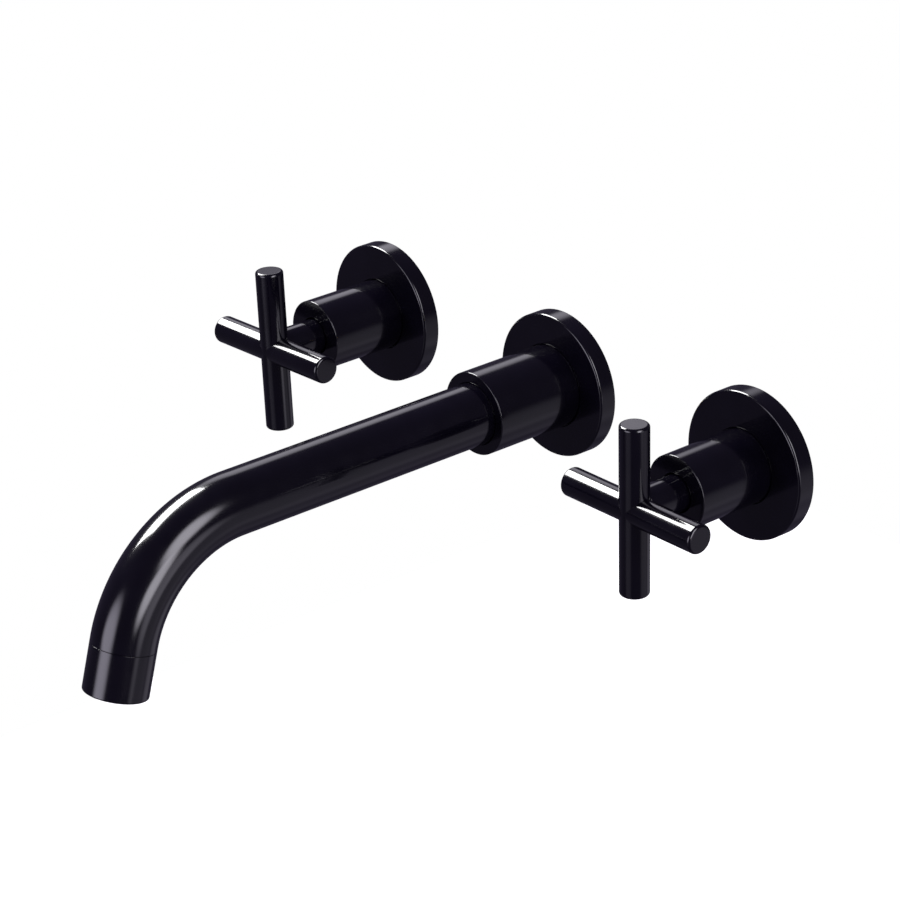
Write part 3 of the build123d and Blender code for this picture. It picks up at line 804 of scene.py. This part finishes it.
@dataclass
class ThreadedTail:
    """A brass piece of a station, copied from its node with a real pipe thread on the tail."""

    node: str
    end: float = 1.0 * MM
    crest: float = 10.48 * MM
    root: float = 9.32 * MM
    pitch: float = 1.814 * MM
    start: float = -14.0 * MM
    near_crest: float = 0.02 * MM
    near_end: float = 0.1 * MM

    def build(self, x: float) -> None:
        """Slim the tail down to the thread's root and wind the thread on it.

        Args:
            x: the station's place along the wall.
        """
        copy = welded_copy(self.node)
        points = np.empty(len(copy.vertices) * 3)
        copy.vertices.foreach_get("co", points)
        points = points.reshape(-1, 3)
        away = np.hypot(points[:, 0] - x, points[:, 2])
        at_crest = np.abs(away - self.crest) < self.near_crest
        tail = at_crest & (-points[:, 1] < self.end + self.near_end)
        share = np.where(tail, self.root / np.maximum(away, self.root), 1.0)
        points[:, 0] = x + (points[:, 0] - x) * share
        points[:, 2] *= share
        copy.vertices.foreach_set("co", points.ravel())
        copy.shade_smooth()
        copy.set_sharp_from_angle(angle=COPY_SHARP)
        copy.update()
        show_mesh(copy, self.node + "_brass", Body.FIXED, "brass", BRASS, self.node)
        thread = helix(out_of_wall(x), self.root, self.crest, self.start, self.end, self.pitch)
        show(thread, self.node + "_thread", Body.FIXED, "brass", BRASS)


def welded_copy(node: str) -> bpy.types.Mesh:
    """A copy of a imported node's mesh with its loose triangles joined."""
    copy = frame["nodes"][node].data.copy()
    blank = bpy.data.objects.new("blank", copy)
    bpy.context.scene.collection.objects.link(blank)
    weld = blank.modifiers.new("weld", "WELD")
    weld.merge_threshold = WELD
    graph = bpy.context.evaluated_depsgraph_get()
    joined = bpy.data.meshes.new_from_object(blank.evaluated_get(graph))
    bpy.data.objects.remove(blank)
    return joined


@dataclass
class CrossHandle:
    """Cross of two bars on a neck: one upright bar and two half bars coped to it."""

    side: Side
    lean: float
    bar_length: float = 65.0 * MM
    bar_radius: float = 5.45 * MM
    arm_radius: float = 5.43 * MM
    plane: float = 59.8 * MM
    end_round: float = 1.1 * MM
    joint_round: float = 0.22 * MM
    neck_back: float = 38.4 * MM
    neck_bore: float = 5.1 * MM
    neck_bore_front: float = 51.0 * MM
    neck_round: float = 0.8 * MM
    grub_place: float = 45.0 * MM
    grub_radius: float = 1.5 * MM
    bar_spacing: float = 2.0 * MM
    saddle_span: tuple[float, float] = (0.15, 0.96)
    saddle_rows: int = 7
    run_rows: int = 13

    def build(self) -> None:
        """Make the neck, the upright bar and the two arms."""
        x, radius, _, front = reach(f"{self.side.prefix}_hub")
        lean = radians(self.lean)
        across = Vector((cos(lean), 0, sin(lean)))
        upright = Vector((-sin(lean), 0, cos(lean)))
        middle = Vector((x, -self.plane, 0))
        self.neck(x, radius, front, upright)
        self.bar(middle, upright)
        self.arm(middle, -across, "left")
        self.arm(middle, across, "right")

    def put(self, mesh: bpy.types.Mesh, piece: str) -> None:
        """Show one piece of the handle in place of its node."""
        node = f"{self.side.prefix}_{piece}"
        show_mesh(mesh, node + "_piece", self.side.body, "black_finish", BLACK, node)

    def neck(self, x: float, radius: float, front: float, upright: Vector) -> None:
        """Turn the neck and drill it underneath for the grub screw.

        Args:
            x: the station's place along the wall.
            radius: the neck's radius.
            front: its front face.
            upright: direction of the upright bar.
        """
        outline = [
            Corner(0, self.neck_bore_front),
            Corner(self.neck_bore, self.neck_bore_front),
            Corner(self.neck_bore, self.neck_back),
            Corner(radius, self.neck_back, 2 * EDGE),
            Corner(radius, front, self.neck_round),
            Corner(0, front),
        ]
        blank = turned(out_of_wall(x), outline, closed=False).mesh("neck")
        place = Vector((x, -self.grub_place, 0)) - upright * radius
        self.put(drilled(blank, place, -upright, self.grub_radius, radius - self.neck_bore), "hub")

    def bar(self, middle: Vector, upright: Vector) -> None:
        """Turn the upright bar, with a round on both its ends.

        Args:
            middle: the middle of the cross.
            upright: the bar's direction.
        """
        half = self.bar_length / 2
        outline = [
            Corner(0, -half),
            Corner(self.bar_radius, -half, self.end_round),
            Corner(self.bar_radius, half, self.end_round),
            Corner(0, half),
        ]
        route = Route(middle, upright, Vector((0, -1, 0)))
        self.put(turned(route, outline, closed=False, spacing=self.bar_spacing).mesh("bar"), "cross_bar")

    def arm(self, middle: Vector, outward: Vector, name: str) -> None:
        """Half bar that starts in a saddle on the upright bar.

        A point on the arm is middle + t * outward + r * (cos(a) * forward + sin(a) * upward). The saddle
        is where it meets the upright bar: t = sqrt(bar_radius ** 2 - (r * cos(a)) ** 2). Rows run from the
        saddle's middle out to its rim, round the rim, and along the arm to its end. From the saddle to
        the end a row's t is a share of the way between the two.

        Args:
            middle: the middle of the cross.
            outward: the arm's direction.
            name: left or right.
        """
        half = self.bar_length / 2
        forward = np.array((0.0, -1.0, 0.0))
        out = np.array(outward)
        upward = np.cross(out, forward)
        angle = np.linspace(0, 2 * pi, ROUNDNESS, endpoint=False)[None, :]
        radial = np.cos(angle)[..., None] * forward + np.sin(angle)[..., None] * upward

        def saddle(r: Array) -> Array:
            """Length at which a point at radius r meets the upright bar."""
            return np.sqrt(np.maximum(self.bar_radius**2 - (r * np.cos(angle)) ** 2, 0))

        # the saddle's face, then a small round, then the arm with its rounded end
        face = np.linspace(*self.saddle_span, self.saddle_rows)[:, None] * self.arm_radius
        swing = np.linspace(0, pi / 2, ROUND_STEPS + 1)[:, None]
        rim_r = self.arm_radius - self.joint_round * (1 - np.sin(swing))
        rim_t = saddle(rim_r) + self.joint_round * (1 - np.cos(swing))
        run = np.linspace(0, 1, self.run_rows + 1)[1:, None]
        run_t = rim_t[-1:] + (half - self.end_round - rim_t[-1:]) * run
        turn = np.linspace(0, pi / 2, ROUND_STEPS + 1)[1:, None]
        end_r = self.arm_radius - self.end_round * (1 - np.cos(turn))
        end_t = half - self.end_round * (1 - np.sin(turn))
        ones = np.ones_like(angle)
        r = np.vstack([face * ones, rim_r * ones, self.arm_radius * np.ones_like(run) * ones, end_r * ones])
        t = np.vstack([saddle(face), rim_t, run_t, end_t * ones])
        face_way = np.zeros_like(face)
        way_r = np.vstack([face_way, np.sin(swing), np.ones_like(run), np.cos(turn)])
        way_t = np.vstack([face_way - 1, -np.cos(swing), np.zeros_like(run), np.sin(turn)])
        points = np.array(middle) + t[..., None] * out + r[..., None] * radial
        normals = way_r[..., None] * radial + way_t[..., None] * out
        tips = np.array(middle) + np.array([[self.bar_radius], [half]]) * out
        body = grid(points, normals, False)
        surface = with_poles(body, ROUNDNESS, tips, np.array([-out, out])).outward()
        self.put(surface.mesh("arm"), f"arm_{name}")


@dataclass
class Spout:
    """The bent tube and the aerator's sleeve at its mouth."""

    start: float = 24.0 * MM
    straight_end: float = 157.1 * MM
    bend_radius: float = 51.4 * MM
    bend_angle: float = radians(74.0)
    tip: float = 0.8 * MM
    wall: float = 1.2 * MM
    seam: float = 0.15 * MM
    seam_round: float = 0.08 * MM
    sleeve_length: float = 17.6 * MM
    mouth_round: float = 0.6 * MM
    neck: float = 9.55 * MM
    neck_top: float = -5.0 * MM
    core: float = 8.7 * MM
    lip: float = 7.9 * MM
    lip_top: float = 15.6 * MM
    spacing: float = 1.0 * MM
    columns: int = 128

    @property
    def radius(self) -> float:
        """The tube's outer radius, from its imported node."""
        low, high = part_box("spout_tube")
        return (high.x - low.x) / 2

    def route(self) -> Route:
        """The tube's middle line, out of the wall and then down."""
        return Route(
            Vector((0, 0, 0)),
            Vector((0, -1, 0)),
            Vector((1, 0, 0)),
            self.straight_end,
            self.bend_radius,
            self.bend_angle,
        )

    def seam_length(self) -> float:
        """Length of the middle line from the wall plane to the seam."""
        return self.straight_end + self.bend_radius * self.bend_angle + self.tip

    def build(self) -> None:
        """Make the tube and the aerator's sleeve."""
        bore = self.radius - self.wall
        end = self.seam_length()
        outline = [
            Corner(bore, self.start),
            Corner(self.radius, self.start),
            Corner(self.radius, end, self.seam_round),
            Corner(bore, end),
        ]
        tube = turned(self.route(), outline, spacing=self.spacing, columns=self.columns)
        show(tube, "spout_tube_bent", Body.FIXED, "black_finish", BLACK, "spout_tube")
        self.aerator()

    def aerator(self) -> None:
        """Turn the sleeve below the seam about the mouth's own axis."""
        centre, along, _ = self.route().frames(np.array([self.seam_length()]))
        mouth = Route(Vector(centre[0]), Vector(along[0]), Vector((1, 0, 0)))
        outline = [
            Corner(self.core, self.neck_top),
            Corner(self.neck, self.neck_top),
            Corner(self.neck, self.seam),
            Corner(self.radius, self.seam, self.seam_round),
            Corner(self.radius, self.sleeve_length, self.mouth_round),
            Corner(self.lip, self.sleeve_length, self.mouth_round),
            Corner(self.lip, self.lip_top),
            Corner(self.core, self.lip_top),
        ]
        sleeve = turned(mouth, outline)
        show(sleeve, "aerator_sleeve", Body.FIXED, "black_finish", BLACK, "aerator_housing")


def dress_nodes() -> None:
    """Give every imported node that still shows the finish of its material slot."""
    for part in frame["record"]["subparts"]:
        node = frame["nodes"][part["node"]]
        if node.hide_render:
            continue
        node.data.materials.clear()
        node.data.materials.append(SLOT_FINISHES[part["material_slot"]].material())


# ---------------------------------------------------------------- studio


@dataclass(frozen=True)
class Card:
    """A soft pale card in the room: where its middle is, how bright, and its core's and rim's angles."""

    middle: tuple[float, float, float]
    brightness: float
    core: float
    rim: float
    colour: Colour = (0.93, 0.90, 1.0)


@dataclass
class Studio:
    """Pale floor, white surround, a dark room with pale cards, one soft box and the camera."""

    azimuth: float = 50.31
    elevation: float = 24.18
    roll: float = -1.855
    distance: float = 1.207
    lens: float = 132.27
    target: tuple[float, float, float] = (0.0, -0.070, 0.0)
    slide: tuple[float, float] = (0.00997, -0.00632)
    floor_drop: float = 1.9
    floor_size: float = 6.0
    floor_dark: Colour = (0.86, 0.86, 0.86)
    floor_light: Colour = (0.88, 0.88, 0.88)
    floor_scale: float = 3.0
    floor_glow: float = 0.92
    sensor: float = 36.0
    farthest: float = 20.0
    key_way: tuple[float, float, float] = (-0.70, -0.07, 0.70)
    key_away: float = 2.2
    key_size: tuple[float, float] = (1.40, 1.00)
    key_brightness: float = 20.0
    room: Colour = (0.048, 0.042, 0.066)
    cards: tuple[Card, ...] = (
        Card((-0.69, 0.50, 0.52), 1.25, 1, 16),
        Card((-0.10, -0.99, 0.10), 3.0, 3, 28, (0.88, 0.84, 1.0)),
        Card((0.00, -0.90, -0.43), 0.16, 1, 24, (0.85, 0.80, 1.0)),
        Card((0.97, -0.14, 0.12), 5.0, 2, 18),
        Card((0.83, 0.01, 0.54), 5.0, 2, 22),
        Card((0.95, 0.22, -0.15), 1.00, 2, 18, (0.90, 0.86, 1.0)),
        Card((0.75, 0.45, -0.45), 0.20, 2, 32, (0.90, 0.86, 1.0)),
        Card((0.15, 0.87, -0.47), 0.28, 2, 20, (0.90, 0.86, 1.0)),
        Card((0.30, 0.58, -0.75), 0.10, 1, 26, (0.85, 0.80, 1.0)),
    )

    def build(self) -> None:
        """Set up the camera, the floor and the lights."""
        self.camera()
        self.floor()
        self.world()
        self.lights()

    def camera(self) -> None:
        """Long lens, to the right of the faucet and above it, turned a little about its own axis."""
        azimuth, elevation, roll = (radians(a) for a in (self.azimuth, self.elevation, self.roll))
        back = Vector(
            (sin(azimuth) * cos(elevation), -cos(azimuth) * cos(elevation), sin(elevation))
        )
        level = (-back).cross(Vector((0, 0, 1))).normalized()
        plumb = level.cross(-back)
        right = cos(roll) * level + sin(roll) * plumb
        up = cos(roll) * plumb - sin(roll) * level
        place = Vector(self.target) + right * self.slide[0] + up * self.slide[1] + back * self.distance
        data = bpy.data.cameras.new("camera")
        data.lens = self.lens
        data.sensor_width = self.sensor
        data.clip_end = self.farthest
        view = bpy.data.objects.new("camera", data)
        view.matrix_world = Matrix.Translation(place) @ Matrix((right, up, back)).transposed().to_4x4()
        bpy.context.scene.collection.objects.link(view)
        bpy.context.scene.camera = view

    def floor(self) -> None:
        """Plain pale floor well below the spout."""
        half = self.floor_size / 2
        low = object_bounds()[0][2] - self.floor_drop
        mesh = bpy.data.meshes.new("floor")
        corners = [(-half, -half, low), (half, -half, low), (half, half, low), (-half, half, low)]
        mesh.from_pydata(corners, [], [(0, 1, 2, 3)])
        plane = bpy.data.objects.new("floor", mesh)
        pale = bpy.data.materials.new("pale_floor")
        pale.use_nodes = True
        sheet = Sheet(pale)
        sheet.set(Base_Color=sheet.colours(sheet.noise(self.floor_scale), self.floor_dark, self.floor_light))
        sheet.set(Roughness=0.9, Specular_IOR_Level=0.1)
        sheet.set(Emission_Color=(1, 1, 1, 1), Emission_Strength=self.floor_glow)
        mesh.materials.append(pale)
        bpy.context.scene.collection.objects.link(plane)
        plane.visible_glossy = False
        plane.visible_diffuse = False
        plane.visible_shadow = False
        plane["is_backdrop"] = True

    def world(self) -> None:
        """White to the eye. To everything else a dark violet room with soft pale cards hung round it.

        A card's brightness at a direction is its own times a smooth step of the cosine of the angle
        between the direction and the card's middle, from 0 at its rim to 1 at its core.
        """
        world = bpy.data.worlds.new("studio")
        world.use_nodes = True
        bpy.context.scene.world = world
        sheet = Sheet(world)
        way = sheet.node("TexCoord").outputs["Generated"]
        room = sheet.node("RGB").outputs[0]
        room.default_value = (*self.room, 1)
        for card in self.cards:
            middle = Vector(card.middle).normalized()
            cosine = sheet.node("VectorMath", operation="DOT_PRODUCT")
            sheet.tree.links.new(way, cosine.inputs[0])
            cosine.inputs[1].default_value = middle
            glow = sheet.node(
                "MapRange",
                interpolation_type="SMOOTHERSTEP",
                Value=cosine.outputs["Value"],
                From_Min=cos(radians(card.rim)),
                From_Max=cos(radians(card.core)),
                To_Min=0.0,
                To_Max=card.brightness,
            )
            lit = sheet.node("VectorMath", operation="SCALE")
            lit.inputs[0].default_value = card.colour
            sheet.tree.links.new(glow.outputs[0], lit.inputs["Scale"])
            both = sheet.node("VectorMath", operation="ADD")
            sheet.tree.links.new(room, both.inputs[0])
            sheet.tree.links.new(lit.outputs[0], both.inputs[1])
            room = both.outputs[0]
        surround = sheet.node("Background", Color=room, Strength=1.0)
        white = sheet.node("Background", Color=(1, 1, 1, 1), Strength=1.0)
        eye = sheet.node("LightPath").outputs["Is Camera Ray"]
        mix = sheet.node("MixShader")
        sheet.tree.links.new(eye, mix.inputs[0])
        sheet.tree.links.new(surround.outputs[0], mix.inputs[1])
        sheet.tree.links.new(white.outputs[0], mix.inputs[2])
        output = sheet.tree.nodes["World Output"]
        sheet.tree.links.new(mix.outputs[0], output.inputs["Surface"])

    def soft_box(self, name: str, way: tuple, away: float, size: tuple, brightness: float) -> None:
        """Hang one rectangular soft box that looks at the middle of the faucet.

        Args:
            name: its name.
            way: direction towards it from the middle.
            away: its distance.
            size: width along the wall's normal, and height.
            brightness: radiance of its face.
        """
        data = bpy.data.lights.new(name, "AREA")
        data.shape = "RECTANGLE"
        data.size, data.size_y = size
        data.energy = brightness * pi * size[0] * size[1]
        box = bpy.data.objects.new(name, data)
        out = Vector(way).normalized()
        wide = Vector((0, 1, 0))
        wide = (wide - out * wide.dot(out)).normalized()
        place = Vector(self.target) + out * away
        turn = Matrix((wide, out.cross(wide), out)).transposed().to_4x4()
        box.matrix_world = Matrix.Translation(place) @ turn
        box.visible_camera = False
        bpy.context.scene.collection.objects.link(box)
        box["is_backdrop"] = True

    def lights(self) -> None:
        """One soft box high on the left, its long side nearly parallel to the spout's straight run."""
        self.soft_box("key", self.key_way, self.key_away, self.key_size, self.key_brightness)


def main() -> None:
    """Build every piece in order, then the studio."""
    for side, lean in LEANS.items():
        name = side.prefix
        x, sleeve_radius, _, _ = reach(f"{name}_sleeve")
        hub_radius = reach(f"{name}_hub")[1]
        Flange(f"{name}_flange").build(sleeve_radius + FLANGE_GAP)
        Sleeve(f"{name}_sleeve", lip_bore=hub_radius + NECK_GAP).build()
        ThreadedTail(f"{name}_headwork_body", start=-5.9 * MM).build(x)
        CrossHandle(side, lean).build()
    collar_radius = reach("spout_collar")[1]
    Flange("spout_flange").build(collar_radius + FLANGE_GAP)
    Sleeve(
        "spout_collar", lip_bore=12.0 * MM, wall=1.8 * MM, lip=4.0 * MM, hole=(17.0 * MM, 2.7 * MM)
    ).build()
    ThreadedTail("spout_nipple").build(0.0)
    Spout().build()
    dress_nodes()
    Studio().build()
    scene = bpy.context.scene
    scene.view_settings.view_transform = "Standard"
    scene.view_settings.look = "None"


if __name__ == "__main__":
    main()
